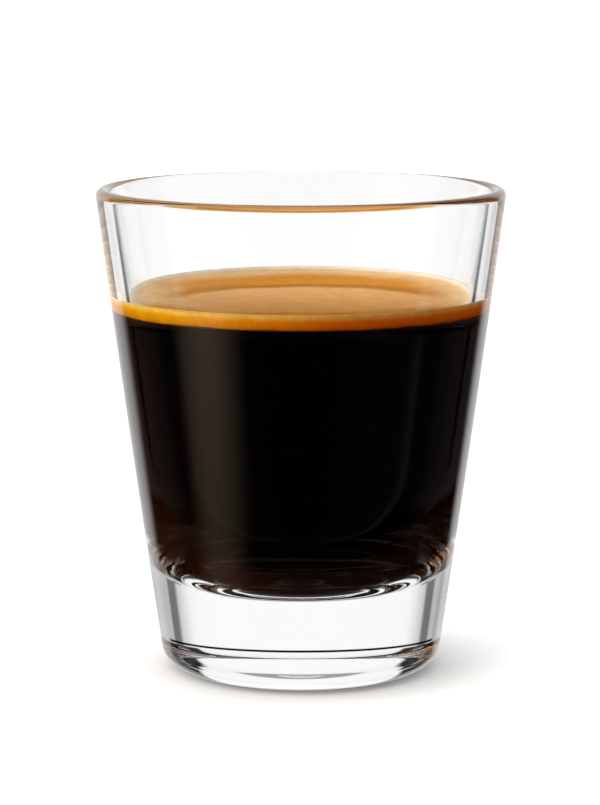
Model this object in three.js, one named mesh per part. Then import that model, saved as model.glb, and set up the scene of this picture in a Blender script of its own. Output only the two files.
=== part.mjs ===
import * as THREE from "three";

// A small tapered glass with a heavy foot, holding a long black coffee under a layer of crema.
// Millimetres, +Z up. The origin is on the table, under the middle of the foot.
// Every piece is a profile turned once round the Z axis, so each list of points below
// is (radius, height) and runs from the axis, outwards and back to the axis.

// Outside of the glass
const glassHeight = 86.95;
const rimRadius = 36.6; // at the widest part of the lip
const footRadius = 24.84; // where the wall's straight line would meet the table
const wallBulge = 0.2; // how far the wall swells out of a straight line halfway up
const footRoundWidth = 5.6;
const footRoundHeight = 4.15;
const footFullness = 2.4; // 2 makes the round an ellipse, more makes it squarer
const puntRadius = 17.8; // inner edge of the flat ring that the glass stands on
const puntDepth = 3; // hollow under the foot
const puntCurve = 6; // 2 makes the hollow a plain dome, more makes it flatter on top

// Inside of the glass
const boreRadiusAbove = 31.38; // of the bore's straight wall, at the height below
const boreRadiusHeight = 70;
const boreSlope = 0.1628; // a little more than the outside's, so the wall thickens downwards
const floorHeight = 15.94; // solid glass below the drink
const floorDome = 0.1; // the floor is this much higher in the middle
const floorRoundWidth = 11.46;
const floorRoundHeight = 22.7;
const floorFullness = 2.2; // as for the foot's round

// Drink
const cremaTop = 67.65; // level of the crema's surface
const cremaThickness = 2.25;
const meniscusRise = 0.6; // the crema climbs this much where it meets the glass
const meniscusWidth = 2.2;
const gap = 0.3; // clearance between one piece and the next

const turnSteps = 96; // faces round the axis

const boreAngle = Math.atan(boreSlope);

function boreRadius(height) {
  return boreRadiusAbove + (height - boreRadiusHeight) * boreSlope;
}

// Radius of the lip's round: it fills the space between the bore's line and the rim's widest
// radius, and its centre is one radius below the top.
function roundedLip() {
  let radius = 1;
  for (let i = 0; i < 20; i++) {
    radius = (rimRadius - boreRadius(glassHeight - radius)) / (1 + 1 / Math.cos(boreAngle));
  }
  return radius;
}
const lipRadius = roundedLip();
const lipCentreRadius = rimRadius - lipRadius;
const lipCentreHeight = glassHeight - lipRadius;
const wallLean = Math.atan((rimRadius - footRadius) / lipCentreHeight);

// The outer wall leaves the lip's round along its lean and swells slightly on its way down.
function outerRadius(height) {
  const below = height - lipCentreHeight;
  const swell = (wallBulge * 4 * height * -below) / lipCentreHeight ** 2;
  return lipCentreRadius + lipRadius / Math.cos(wallLean) + below * Math.tan(wallLean) + swell;
}

// Points on a circular arc, from one angle to another, both ends included.
function arc(centreRadius, centreHeight, radius, startAngle, endAngle, steps) {
  const points = [];
  for (let i = 0; i <= steps; i++) {
    const angle = startAngle + ((endAngle - startAngle) * i) / steps;
    const r = centreRadius + radius * Math.cos(angle);
    const z = centreHeight + radius * Math.sin(angle);
    points.push([r, z]);
  }
  return points;
}

// A round between a wall and a level face, from the wall inwards. It keeps the wall's lean,
// and a fullness above 2 makes it squarer than an ellipse.
function cornerRound(wallRadius, level, width, height, fullness, steps) {
  const points = [];
  for (let i = 0; i <= steps; i++) {
    const angle = (Math.PI / 2) * (i / steps);
    const z = level + height * (1 - Math.sin(angle) ** (2 / fullness));
    const across = Math.max(Math.cos(angle), 0) ** (2 / fullness);
    points.push([wallRadius(z) - width * (1 - across), z]);
  }
  return points;
}

// The bore's round and its slightly domed floor, from the wall to the axis.
function boreFloor(wallRadius, level, steps) {
  const width = floorRoundWidth;
  const points = cornerRound(wallRadius, level, width, floorRoundHeight, floorFullness, steps);
  const edge = points[points.length - 1][0];
  points.push([edge / 2, level + floorDome * 0.75]);
  points.push([0, level + floorDome]);
  return points;
}

// The hollow under the foot, from the middle out to the flat ring, with closer steps at its edge.
function puntProfile(steps) {
  const points = [];
  for (let i = 0; i <= steps; i++) {
    const share = 1 - (1 - i / steps) ** 1.8;
    points.push([puntRadius * share, puntDepth * (1 - share ** puntCurve)]);
  }
  return points;
}

// The swelling outer wall between the foot's round and the lip.
function outerWall(steps) {
  const low = footRoundHeight;
  const high = lipCentreHeight - lipRadius * Math.sin(wallLean);
  const points = [];
  for (let i = 1; i < steps; i++) {
    const z = low + ((high - low) * i) / steps;
    points.push([outerRadius(z), z]);
  }
  return points;
}

function glassProfile() {
  const width = footRoundWidth;
  const foot = cornerRound(outerRadius, 0, width, footRoundHeight, footFullness, 8);
  const top = Math.PI / 2;
  return [
    ...puntProfile(7),
    ...foot.reverse(),
    ...outerWall(5),
    ...arc(lipCentreRadius, lipCentreHeight, lipRadius, -wallLean, top, 5),
    ...arc(lipCentreRadius, lipCentreHeight, lipRadius, top, Math.PI - boreAngle, 5).slice(1),
    ...boreFloor(boreRadius, floorHeight, 11),
  ];
}

// The drink follows the bore at a small clearance, up to a level face under the crema.
const coffeeTop = cremaTop - cremaThickness;
function innerRadius(height) {
  return boreRadius(height) - gap / Math.cos(boreAngle);
}
function coffeeProfile() {
  const top = coffeeTop - gap;
  return [
    ...boreFloor(innerRadius, floorHeight + gap, 10).reverse(),
    [innerRadius(top), top],
    [0, top],
  ];
}

// The crema is level in the middle and curls up to a thin edge at the glass.
function cremaProfile() {
  const edgeRadius = innerRadius(cremaTop + meniscusRise);
  const curlSteps = 5;
  const curl = [];
  for (let i = 0; i <= curlSteps; i++) {
    const t = i / curlSteps;
    curl.push([edgeRadius - meniscusWidth * t, cremaTop + meniscusRise * (1 - t) ** 2]);
  }
  return [
    [0, coffeeTop],
    [innerRadius(coffeeTop), coffeeTop],
    ...curl,
    [0, cremaTop],
  ];
}

// Turns a profile about the Z axis into a closed mesh.
function turned(name, profile, material) {
  const points = profile.map(([r, z]) => new THREE.Vector2(r, z));
  const geometry = new THREE.LatheGeometry(points, turnSteps);
  geometry.rotateX(Math.PI / 2);
  const mesh = new THREE.Mesh(geometry, material);
  mesh.name = name;
  return mesh;
}

const clearGlass = new THREE.MeshStandardMaterial({
  color: "#f2f5f4",
  roughness: 0.02,
  metalness: 0,
  transparent: true,
  opacity: 0.3,
});
const blackCoffee = new THREE.MeshStandardMaterial({ color: "#140702", roughness: 0.1, metalness: 0 });
const hazelCrema = new THREE.MeshStandardMaterial({ color: "#cf935a", roughness: 0.6, metalness: 0 });

const glassOfLungo = new THREE.Group();
glassOfLungo.add(turned("glass", glassProfile(), clearGlass));
glassOfLungo.add(turned("coffee", coffeeProfile(), blackCoffee));
glassOfLungo.add(turned("crema", cremaProfile(), hazelCrema));

export default glassOfLungo;
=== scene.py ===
import bpy
import bmesh
from math import atan, cos, pi, radians, sin, tan
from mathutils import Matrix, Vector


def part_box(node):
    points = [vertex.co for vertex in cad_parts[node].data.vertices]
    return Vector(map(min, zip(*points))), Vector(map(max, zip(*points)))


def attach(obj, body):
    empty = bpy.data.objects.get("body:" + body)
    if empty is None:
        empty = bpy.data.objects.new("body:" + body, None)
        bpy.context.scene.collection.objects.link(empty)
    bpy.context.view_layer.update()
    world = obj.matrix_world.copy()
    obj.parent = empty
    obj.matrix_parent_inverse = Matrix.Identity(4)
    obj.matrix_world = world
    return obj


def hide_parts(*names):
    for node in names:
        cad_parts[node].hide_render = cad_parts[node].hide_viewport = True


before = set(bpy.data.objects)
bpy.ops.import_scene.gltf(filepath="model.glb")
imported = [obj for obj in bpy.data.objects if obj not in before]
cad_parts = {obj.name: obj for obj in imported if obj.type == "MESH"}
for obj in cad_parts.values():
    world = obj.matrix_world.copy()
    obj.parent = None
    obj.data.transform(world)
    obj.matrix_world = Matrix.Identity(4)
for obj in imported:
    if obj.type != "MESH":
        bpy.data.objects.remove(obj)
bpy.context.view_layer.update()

scene = bpy.context.scene


# helpers

def mm(value):
    return value / 1000


def hexColor(code):
    # sRGB hex to linear RGBA
    channels = [int(code[i:i + 2], 16) / 255 for i in (1, 3, 5)]
    linear = [c / 12.92 if c <= 0.04045 else ((c + 0.055) / 1.055) ** 2.4 for c in channels]
    return (*linear, 1)


def grey(level):
    return (level, level, level, 1)


def addNode(tree, kind, settings=None, **links):
    # one node with its settings; links are input names or numbers (as in0, in1) to a value,
    # a socket, or a node that stands for its first output
    node = tree.nodes.new("ShaderNode" + kind)
    for key, value in (settings or {}).items():
        setattr(node, key, value)
    for key, value in links.items():
        if key[:2] == "in" and key[2:].isdigit():
            socket = node.inputs[int(key[2:])]
        else:
            socket = [s for s in node.inputs if s.name == key.replace("_", " ") and s.enabled][0]
        if isinstance(value, bpy.types.Node):
            value = [s for s in value.outputs if s.enabled][0]
        if isinstance(value, bpy.types.NodeSocket):
            tree.links.new(value, socket)
        else:
            socket.default_value = value
    return node


# camera

cameraView = {
    "distance": 528.7,      # mm from the glass's axis
    "height": 133.7,        # mm above the table
    "pitch": 9.21,          # degrees down
    "focalPixels": 2967.8,
    "framePixels": (600, 805),
    "axisPixel": 300.9,     # the axis of the glass in the photo
    "clip": (0.01, 20),     # metres
}


def placeCamera(view):
    data = bpy.data.cameras.new("camera")
    camera = bpy.data.objects.new("camera", data)
    scene.collection.objects.link(camera)
    longSide = max(view["framePixels"])
    data.sensor_width = 36
    data.lens = view["focalPixels"] * data.sensor_width / longSide
    data.shift_x = -(view["axisPixel"] - view["framePixels"][0] / 2) / longSide
    data.clip_start, data.clip_end = view["clip"]
    camera.location = (0, -mm(view["distance"]), mm(view["height"]))
    camera.rotation_euler = (pi / 2 - radians(view["pitch"]), 0, 0)
    scene.camera = camera


placeCamera(cameraView)
print("camera placed")


# turned shapes: a pen draws half the outline with bmesh operators, then spin turns it round the axis

class Pen:
    def __init__(self, radius, height):
        self.mesh = bmesh.new()
        self.tip = self.mesh.verts.new((mm(radius), 0, mm(height)))

    def stepTo(self, radius, height):
        made = bmesh.ops.extrude_vert_indiv(self.mesh, verts=[self.tip])
        self.tip = made["verts"][0]
        self.tip.co = (mm(radius), 0, mm(height))

    def follow(self, points):
        for radius, height in points:
            self.stepTo(radius, height)

    def lineTo(self, radius, height, cuts):
        startRadius, startHeight = 1000 * self.tip.co.x, 1000 * self.tip.co.z
        for i in range(1, cuts + 2):
            t = i / (cuts + 1)
            self.stepTo(startRadius + (radius - startRadius) * t,
                        startHeight + (height - startHeight) * t)

    def roundAbout(self, radius, height, angle, steps):
        # turns the tip about a centre, in radians, outwards and upwards from a low start
        made = bmesh.ops.spin(self.mesh, geom=[self.tip], cent=(mm(radius), 0, mm(height)),
                              axis=(0, -1, 0), angle=angle, steps=steps, use_duplicate=False)
        self.tip = [v for v in made["geom_last"] if isinstance(v, bmesh.types.BMVert)][0]

    def turn(self, name, steps):
        bm = self.mesh
        bmesh.ops.spin(bm, geom=bm.verts[:] + bm.edges[:], cent=(0, 0, 0), axis=(0, 0, 1),
                       angle=2 * pi, steps=steps, use_merge=True, use_duplicate=False)
        bmesh.ops.remove_doubles(bm, verts=bm.verts, dist=1e-6)
        bmesh.ops.recalc_face_normals(bm, faces=bm.faces)
        for face in bm.faces:
            face.smooth = True
        data = bpy.data.meshes.new(name)
        bm.to_mesh(data)
        bm.free()
        piece = bpy.data.objects.new(name, data)
        scene.collection.objects.link(piece)
        return piece


turnSteps = 256     # faces round the axis, on every piece
nearEnd = 0.15      # mm, a ring this close to a wall's end keeps its shading straight

glassForm = {
    "footRadius": 24.84,     # of the wall's straight line at the table
    "footRound": (5.6, 4.15),     # width, height
    "footFullness": 2.4,     # 2 is an ellipse, more is squarer
    "bulge": 0.2,
    "boreRadius": 31.38,     # at the height below
    "boreAt": 70.0,
    "boreSlope": 0.1628,
    "floor": 15.94,
    "floorDome": 0.1,
    "floorRound": (11.46, 22.7),
    "floorFullness": 2.2,
    "puntRadius": 17.8,      # hollow under the foot
    "puntDepth": 3.0,
    "puntCurve": 6,          # 2 is a plain dome, more is flatter on top
    "puntCrowding": 1.4,     # 1 spaces its rings evenly, more brings them together at its edge
    "puntSteps": 24,
    "footSteps": 24,
    "wallSteps": 24,
    "lipSteps": 40,
    "boreSteps": 12,
    "floorRoundSteps": 48,
    "floorSteps": 8,
}

glassCorner = [1000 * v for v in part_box("glass")[1]]
rimRadius, glassHeight = glassCorner[0], glassCorner[2]
boreLean = atan(glassForm["boreSlope"])


def boreRadius(height):
    return glassForm["boreRadius"] + (height - glassForm["boreAt"]) * glassForm["boreSlope"]


def lipSize():
    # the round that touches the bore's line, the rim's widest radius and the top
    size = 1.0
    for i in range(20):
        size = (rimRadius - boreRadius(glassHeight - size)) / (1 + 1 / cos(boreLean))
    return size


lip = lipSize()
lipRadius, lipHeight = rimRadius - lip, glassHeight - lip
wallLean = atan((rimRadius - glassForm["footRadius"]) / lipHeight)


def outerRadius(height):
    bulge = glassForm["bulge"] * 4 * height * (lipHeight - height) / lipHeight ** 2
    return lipRadius + lip / cos(wallLean) + (height - lipHeight) * tan(wallLean) + bulge


def cornerPoints(radiusAt, level, size, steps, fullness):
    # from the wall's line down and in to a level face
    width, height = size
    points = []
    for i in range(steps + 1):
        a = pi / 2 * i / steps
        z = level + height * (1 - sin(a) ** (2 / fullness))
        points.append((radiusAt(z) - width * (1 - max(cos(a), 0) ** (2 / fullness)), z))
    return points


def floorPoints(radiusAt, sunk=0):
    # the bore's round and its slightly domed floor, from the wall in to the axis
    form = glassForm
    level, steps = form["floor"] - sunk, form["floorSteps"]
    points = cornerPoints(radiusAt, level, form["floorRound"], form["floorRoundSteps"],
                          form["floorFullness"])
    edge = points[-1][0]
    for i in range(1, steps + 1):
        r = edge * (1 - i / steps)
        points.append((r, level + form["floorDome"] * (1 - (r / edge) ** 2)))
    return points


def wallPoints(radiusAt, start, end, steps):
    # from start to end, with a ring close to either end
    near = nearEnd if end > start else -nearEnd
    heights = [start + near + (end - start - 2 * near) * i / steps for i in range(steps + 1)]
    return [(radiusAt(z), z) for z in heights]


def puntPoints(form):
    # the hollow under the foot, from the axis out to the ring that the glass stands on
    points = []
    for i in range(1, form["puntSteps"] + 1):
        share = 1 - (1 - i / form["puntSteps"]) ** form["puntCrowding"]
        points.append((form["puntRadius"] * share,
                       form["puntDepth"] * (1 - share ** form["puntCurve"])))
    return points


def makeGlass(form):
    pen = Pen(0, form["puntDepth"])
    pen.follow(puntPoints(form))
    foot = cornerPoints(outerRadius, 0, form["footRound"], form["footSteps"], form["footFullness"])
    pen.follow(foot[::-1])
    wallEnd = lipHeight - lip * sin(wallLean)
    pen.follow(wallPoints(outerRadius, form["footRound"][1], wallEnd, form["wallSteps"]))
    pen.stepTo(lipRadius + lip * cos(wallLean), wallEnd)
    pen.roundAbout(lipRadius, lipHeight, pi - boreLean + wallLean, form["lipSteps"])
    boreStart = lipHeight + lip * sin(boreLean)
    boreEnd = form["floor"] + form["floorRound"][1]
    pen.follow(wallPoints(boreRadius, boreStart, boreEnd, form["boreSteps"]))
    pen.follow(floorPoints(boreRadius))
    return pen.turn("glass_body", turnSteps)


glassBody = makeGlass(glassForm)
print("glass turned")


coffeeForm = {
    "intoWall": 0.05,        # mm, so that no air gap shows
    "sideCuts": 12,
    "topCuts": 4,
}


def makeCoffee(form):
    reach = form["intoWall"]
    top = 1000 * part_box("crema")[0][2]

    def wall(height):
        return boreRadius(height) + reach

    below = floorPoints(wall, reach)[::-1]
    sideStart = below[-1][1] + nearEnd
    pen = Pen(*below[0])
    pen.follow(below[1:])
    pen.stepTo(wall(sideStart), sideStart)
    pen.lineTo(wall(top), top, form["sideCuts"])
    pen.lineTo(0, top, form["topCuts"])
    return pen.turn("coffee_drink", turnSteps)


cremaForm = {
    "intoWall": 0.05,
    "meniscusRise": 0.6,
    "meniscusWidth": 2.2,
    "meniscusSteps": 12,
    "sideCuts": 4,
    "topCuts": 20,
}
cremaLow, cremaEdge = [1000 * corner[2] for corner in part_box("crema")]
cremaTop = cremaEdge - cremaForm["meniscusRise"]


def makeCrema(form):
    reach, edge, steps = form["intoWall"], cremaEdge, form["meniscusSteps"]
    pen = Pen(0, cremaLow)
    pen.lineTo(boreRadius(cremaLow) + reach, cremaLow, form["sideCuts"])
    pen.lineTo(boreRadius(edge) + reach, edge, form["sideCuts"])
    for i in range(1, steps + 1):
        t = i / steps
        pen.stepTo(boreRadius(edge) - form["meniscusWidth"] * t,
                   cremaTop + form["meniscusRise"] * (1 - t) ** 2)
    pen.lineTo(0, cremaTop, form["topCuts"])
    return pen.turn("crema_layer", turnSteps)


coffeeDrink = makeCoffee(coffeeForm)
cremaLayer = makeCrema(cremaForm)
print("drink turned")


# materials

ofColors = {"data_type": "RGBA"}
smoothStep = {"interpolation_type": "SMOOTHSTEP"}


def newMaterial(name):
    material = bpy.data.materials.new(name)
    material.use_nodes = True
    tree = material.node_tree
    tree.nodes.clear()
    return material, tree


def laidOver(tree, under, over, value, span, kind=None):
    # one colour over another, from none where the value is at the span's start to all at its end
    share = addNode(tree, "MapRange", kind, Value=value, From_Min=span[0], From_Max=span[1])
    return addNode(tree, "Mix", ofColors, Factor=share, A=under, B=over)


def drifting(tree, place, size, detail, most):
    # noise with lumps of a size in mm, as values from minus most to most
    lumps = addNode(tree, "TexNoise", Vector=place, Scale=1 / mm(size), Detail=detail)
    return addNode(tree, "MapRange", Value=lumps, From_Min=0.3, From_Max=0.7, To_Min=-most, To_Max=most)


def sodaLimeGlass():
    # polished by the flame: no roughness and no colour, so it shows only by what it bends and mirrors
    material, tree = newMaterial("soda_lime_glass_fire_polished")
    shader = addNode(tree, "BsdfPrincipled", Base_Color=hexColor("#ffffff"), Roughness=0.0, IOR=1.52,
                     Transmission_Weight=1.0)
    addNode(tree, "OutputMaterial", Surface=shader)
    return material


coffeeLook = {
    "deep": "#020000",
    "backlitEdgeGlow": "#220d03",     # painted backlight: the drink's own brown, shown as a glow where little of the drink lies behind its surface
    "backlitEdgeSpan": (0.15, 0.36),
    "index": 0.88,             # of water, 1.33, under glass, 1.52
}


def blackCoffee(look):
    # its surface is the glass's wet wall, which mirrors only at a glancing angle
    material, tree = newMaterial("black_coffee_filtered_through_foam")
    # painted backlight: the base colour turns from deep black to a brown glow towards the glancing edge,
    # for light shining through the thin drink
    facing = addNode(tree, "LayerWeight", Blend=0.5).outputs["Facing"]
    color = laidOver(tree, hexColor(look["deep"]), hexColor(look["backlitEdgeGlow"]), facing,
                     look["backlitEdgeSpan"], smoothStep)
    shader = addNode(tree, "BsdfPrincipled", Base_Color=color, Roughness=0.0, IOR=look["index"])
    addNode(tree, "OutputMaterial", Surface=shader)
    return material


cremaLook = {
    "patchFront": "#bc8344",
    "patchBack": "#dfa96c",
    "patchFade": (-26, 8),        # mm, from front to back
    "patchSize": (24.7, 16.0),    # mm, half its length and half its width
    "patchCentre": -9.0,          # mm, towards the viewer
    "rings": [                    # shares of the patch's size where each starts and is full
        ((0.86, 1.06), "#b47420"),
        ((1.1, 1.4), "#d48c2c"),
    ],
    "rim": "#f4cf98",
    "rimWidth": (21, 29.5),       # mm from the axis where it starts and is full
    "rimMost": 0.85,
    "film": "#fff4e2",            # the last of the foam on the glass
    "filmFront": "#ffc45c",
    "filmHeight": (0.05, 0.5),    # mm above the level surface
    "awayFrom": (-22, -4),        # mm, rim and film turn from their front to their back look
    "sideFoot": "#6c340c",
    "sideBands": [                # shares of the layer's height where each starts and is full
        ((0.02, 0.16), "#d87404", smoothStep),
        ((0.2, 0.7), "#f28c08", None),
        ((0.7, 1.15), "#ffc45c", None),
    ],
    "litSideHue": ((8, 0.481), (-20, 0.52)),      # painted light: golden on the lit left side, redder on the shaded right; mm from the middle and the hue there, right and left
    "drift": (16.0, 2.0, 1.6),    # mm, size of the swirls, their detail and how far they move a ring
    "wave": (5.0, 3.0, 0.12),     # mm, the same for the side's bands
    "lumps": (2.2, 0.1),          # mm, size of the foam's clouds and how much lighter or darker
    "grain": (0.45, 0.07),        # mm, the same for its bubbles, drawn as coarse as they need to show
    "grainHeight": 0.1,           # mm
}


def cremaTopColor(tree, look, place, inMm, y, z):
    drift = drifting(tree, place, *look["drift"])
    long, wide = look["patchSize"]
    ring = addNode(tree, "Mapping", Vector=inMm, Location=(0, -look["patchCentre"] / wide, 0),
                   Scale=(1 / long, 1 / wide, 0))
    ring = addNode(tree, "VectorMath", {"operation": "LENGTH"}, in0=ring)
    ring = addNode(tree, "Math", {"operation": "MULTIPLY_ADD"}, in0=drift, in1=1 / wide, in2=ring)
    color = laidOver(tree, hexColor(look["patchFront"]), hexColor(look["patchBack"]), y,
                     look["patchFade"], smoothStep)
    for span, shade in look["rings"]:
        color = laidOver(tree, color, hexColor(shade), ring, span, smoothStep)
    away = addNode(tree, "MapRange", smoothStep, Value=y, From_Min=look["awayFrom"][0],
                   From_Max=look["awayFrom"][1])
    radius = addNode(tree, "VectorMath", {"operation": "MULTIPLY"}, in0=inMm, in1=(1, 1, 0))
    radius = addNode(tree, "VectorMath", {"operation": "LENGTH"}, in0=radius)
    radius = addNode(tree, "Math", {"operation": "ADD"}, in0=radius, in1=drift)
    edge = addNode(tree, "MapRange", smoothStep, Value=radius, From_Min=look["rimWidth"][0],
                   From_Max=look["rimWidth"][1], To_Max=look["rimMost"])
    edge = addNode(tree, "Math", {"operation": "MULTIPLY"}, in0=edge, in1=away)
    color = addNode(tree, "Mix", ofColors, Factor=edge, A=color, B=hexColor(look["rim"]))
    film = addNode(tree, "Mix", ofColors, Factor=away, A=hexColor(look["filmFront"]),
                   B=hexColor(look["film"]))
    return laidOver(tree, color, film, z, [cremaTop + height for height in look["filmHeight"]])


def cremaSideColor(tree, look, place, x, z):
    wave = drifting(tree, place, *look["wave"])
    level = addNode(tree, "Math", {"operation": "ADD"}, in0=z, in1=wave)
    level = addNode(tree, "MapRange", {"clamp": False}, Value=level, From_Min=cremaLow,
                    From_Max=cremaTop)
    color = hexColor(look["sideFoot"])
    for span, shade, kind in look["sideBands"]:
        color = laidOver(tree, color, hexColor(shade), level, span, kind)
    # painted light: the hue shifts from the redder shaded right to the golden lit left
    (right, rightHue), (left, leftHue) = look["litSideHue"]
    hue = addNode(tree, "MapRange", Value=x, From_Min=right, From_Max=left, To_Min=rightHue,
                  To_Max=leftHue)
    return addNode(tree, "HueSaturation", Color=color, Hue=hue)


def hazelCrema(look):
    # foam of bubbles too small to see one by one: matt, paler where it thins out at the glass
    material, tree = newMaterial("crema_fine_foam_poured")
    surface = addNode(tree, "TexCoord").outputs
    place = surface["Object"]
    inMm = addNode(tree, "VectorMath", {"operation": "SCALE"}, in0=place, Scale=1000.0)
    x, y, z = addNode(tree, "SeparateXYZ", in0=inMm).outputs
    facingUp = addNode(tree, "SeparateXYZ", in0=surface["Normal"]).outputs["Z"]
    color = laidOver(tree, cremaSideColor(tree, look, place, x, z),
                     cremaTopColor(tree, look, place, inMm, y, z), facingUp, (0.1, 0.5))
    size, most = look["lumps"]
    lumps = addNode(tree, "TexNoise", Vector=place, Scale=1 / mm(size), Detail=4.0)
    value = addNode(tree, "MapRange", Value=lumps, From_Min=0.25, From_Max=0.75, To_Min=1 - most,
                    To_Max=1 + most)
    color = addNode(tree, "HueSaturation", Color=color, Value=value)
    size, most = look["grain"]
    grain = addNode(tree, "TexNoise", Vector=place, Scale=1 / mm(size), Detail=3.0)
    value = addNode(tree, "MapRange", Value=grain, From_Min=0.3, From_Max=0.7, To_Min=1 - most,
                    To_Max=1 + most)
    color = addNode(tree, "HueSaturation", Color=color, Value=value)
    bubbles = addNode(tree, "Bump", Strength=0.25, Distance=mm(look["grainHeight"]), Height=grain)
    shader = addNode(tree, "BsdfPrincipled", Base_Color=color, Roughness=0.75,
                     Specular_IOR_Level=0.02, Normal=bubbles)
    addNode(tree, "OutputMaterial", Surface=shader)
    return material


finishes = (
    (glassBody, "glass", "clear_glass", sodaLimeGlass()),
    (coffeeDrink, "coffee", "black_coffee", blackCoffee(coffeeLook)),
    (cremaLayer, "crema", "hazel_crema", hazelCrema(cremaLook)),
)
for piece, node, slotName, material in finishes:
    piece.data.materials.append(material)
    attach(piece, "root")
    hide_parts(node)
print("materials made")


# studio

studio = {
    "tableSize": 14.0,           # metres
    "tableColor": "#ffffff",
    "tableGlow": 0.35,
    "contact": (18.0, 0.42),     # mm, reach of the shade where the foot stands, and its darkest level
    "contactSamples": 8,
    "background": 0.99,
    # each panel: azimuths and elevations in degrees (0 is straight behind the glass), softness of
    # its edges in azimuth and in elevation, level, colour
    "throughGlass": (1.04, [
        ((40, 90), (-90, 11), (14, 6), 0.62, "#ffffff"),
        ((58, 90), (-90, 11), (6, 6), 0.5, "#ffffff"),
        ((72, 90), (-90, 11), (8, 6), 0.2, "#ffffff"),
        ((39, 44), (-19, -8), (1.5, 1.5), 0.1, "#ffffff"),
        ((44.5, 51.5), (-6, 11), (3, 4), 0.2, "#ffffff"),
        ((-20, 35), (46, 95), (4, 4), 0.4, "#ffffff"),
        ((35, 98), (9, 95), (4, 3), 0.03, "#ffffff"),
        ((-20, 58), (2, 6), (1, 1.5), 0.0, "#ffffff"),
        ((98, 200), (-20, 75), (12, 16), 0.6, "#ffffff"),
        ((98, 200), (-95, 12), (12, 16), 0.25, "#ffffff"),
        ((146, 200), (-95, 75), (28, 16), 0.08, "#ffffff"),
    ]),
    "surfaces": ((2, 1.0), (4, 1.12)),    # surfaces passed and the gain that makes up for their mirroring
    # seen only by light that the glass has mirrored inside: the shade under the foot and a dark gap
    "mirroredInside": [
        ((-20, 33), (-95, -29), (6, 6), 0.04, "#ffffff"),
        ((33, 90), (-95, -38), (6, 8), 0.04, "#ffffff"),
        ((-20, 22.5), (-17, -8.5), (1, 1), 0.0, "#ffffff"),
    ],
    "mirrored": (0.0, [
        ((-42, 35), (-95, 95), (16, 26), 1.0, "#fff8f4"),
        ((-39, 33), (-95, 95), (14, 26), 1.0, "#ffffff"),
        ((-134, -104), (-26, 50), (26, 14), 0.74, "#ffdcb7"),
    ]),
    "lighting": (1.0, [
        ((80, 200), (-95, 50), (20, 20), 0.22, "#ffffff"),
        ((-200, -80), (-95, 50), (20, 20), 0.22, "#ffffff"),
        ((-150, -75), (-30, 50), (20, 20), 4.4, "#fff6ea"),
        ((-200, 200), (50, 100), (1, 15), 1.0, "#ffffff"),
    ]),
}


def whitePaper(form):
    # a matt sweep that glows a little, as paper lit from below, with a soft shade round the foot
    material, tree = newMaterial("white_paper_sweep")
    reach, darkest = form["contact"]
    unshaded = addNode(tree, "AmbientOcclusion", {"samples": form["contactSamples"]},
                       Distance=mm(reach)).outputs["AO"]
    shade = addNode(tree, "Mix", ofColors, Factor=unshaded, A=grey(darkest),
                    B=hexColor(form["tableColor"]))
    shader = addNode(tree, "BsdfPrincipled", Base_Color=shade, Roughness=0.9, Emission_Color=shade,
                     Emission_Strength=form["tableGlow"])
    addNode(tree, "OutputMaterial", Surface=shader)
    return material


def makeTable(form):
    bm = bmesh.new()
    bmesh.ops.create_grid(bm, x_segments=1, y_segments=1, size=form["tableSize"] / 2)
    data = bpy.data.meshes.new("table_top")
    bm.to_mesh(data)
    bm.free()
    data.materials.append(whitePaper(form))
    table = bpy.data.objects.new("table_top", data)
    scene.collection.objects.link(table)
    table.visible_glossy = False
    table.visible_transmission = False
    table.visible_diffuse = False


def within(tree, value, span, soft):
    # 1 inside the span, with soft edges half inside and half outside
    low, high = span
    rise = addNode(tree, "MapRange", smoothStep, Value=value, From_Min=low - soft / 2,
                   From_Max=low + soft / 2)
    fall = addNode(tree, "MapRange", smoothStep, Value=value, From_Min=high - soft / 2,
                   From_Max=high + soft / 2, To_Min=1.0, To_Max=0.0)
    return addNode(tree, "Math", {"operation": "MULTIPLY"}, in0=rise, in1=fall)


def panelled(tree, azimuth, elevation, light, panels):
    for azimuths, elevations, soft, level, color in panels:
        covered = addNode(tree, "Math", {"operation": "MULTIPLY"},
                          in0=within(tree, azimuth, azimuths, soft[0]),
                          in1=within(tree, elevation, elevations, soft[1]))
        shade = [channel * level for channel in hexColor(color)[:3]] + [1]
        light = addNode(tree, "Mix", ofColors, Factor=covered, A=light, B=shade)
    return light


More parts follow.
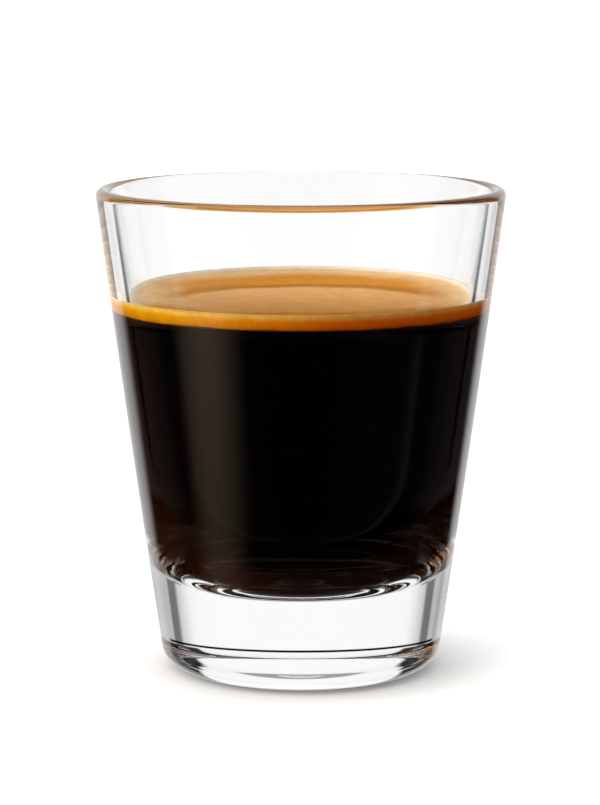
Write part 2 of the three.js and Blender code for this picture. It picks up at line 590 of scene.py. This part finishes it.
def makeWorld(form):
    world = bpy.data.worlds.new("studio")
    scene.world = world
    world.use_nodes = True
    tree = world.node_tree
    tree.nodes.clear()
    direction = addNode(tree, "TexCoord").outputs["Generated"]
    across, along, up = addNode(tree, "SeparateXYZ", in0=direction).outputs
    azimuth = addNode(tree, "Math", {"operation": "ARCTAN2"}, in0=across, in1=along)
    azimuth = addNode(tree, "Math", {"operation": "DEGREES"}, in0=azimuth)
    elevation = addNode(tree, "Math", {"operation": "ARCSINE"}, in0=up)
    elevation = addNode(tree, "Math", {"operation": "DEGREES"}, in0=elevation)
    aside = addNode(tree, "Math", {"operation": "ABSOLUTE"}, in0=azimuth)

    # light that has met nothing matt on its way from the camera
    path = addNode(tree, "LightPath").outputs
    sharp = addNode(tree, "Math", {"operation": "LESS_THAN"}, in0=path["Diffuse Depth"], in1=0.5)
    sharp = addNode(tree, "Math", {"operation": "MULTIPLY"}, in0=path["Is Singular Ray"], in1=sharp)
    through, mirrored = [addNode(tree, "Math", {"operation": "MULTIPLY"}, in0=sharp, in1=path[name])
                         for name in ("Is Transmission Ray", "Is Reflection Ray")]

    level, panels = form["throughGlass"]
    seen = panelled(tree, aside, elevation, grey(level), panels)
    (few, fewGain), (many, manyGain) = form["surfaces"]
    gain = addNode(tree, "MapRange", Value=path["Transmission Depth"], From_Min=few, From_Max=many,
                   To_Min=fewGain, To_Max=manyGain)
    seen = addNode(tree, "VectorMath", {"operation": "SCALE"}, in0=seen, Scale=gain)
    turnedBack = addNode(tree, "Math", {"operation": "GREATER_THAN"}, in0=path["Glossy Depth"],
                         in1=0.5)
    seen = addNode(tree, "Mix", ofColors, Factor=turnedBack, A=seen,
                   B=panelled(tree, aside, elevation, seen, form["mirroredInside"]))

    level, panels = form["lighting"]
    light = panelled(tree, azimuth, elevation, grey(level), panels)
    light = addNode(tree, "Mix", ofColors, Factor=through, A=light, B=seen)
    level, panels = form["mirrored"]
    light = addNode(tree, "Mix", ofColors, Factor=mirrored, A=light,
                    B=panelled(tree, azimuth, elevation, grey(level), panels))
    light = addNode(tree, "Mix", ofColors, Factor=path["Is Camera Ray"], A=light,
                    B=grey(form["background"]))
    background = addNode(tree, "Background", Color=light, Strength=1.0)
    addNode(tree, "OutputWorld", Surface=background)


makeTable(studio)
makeWorld(studio)
scene.view_settings.view_transform = "Standard"
scene.cycles.max_bounces = 24        # light is mirrored many times inside the thick foot
scene.cycles.glossy_bounces = 16
scene.cycles.transmission_bounces = 24
scene.cycles.diffuse_bounces = 3
print("studio lit")
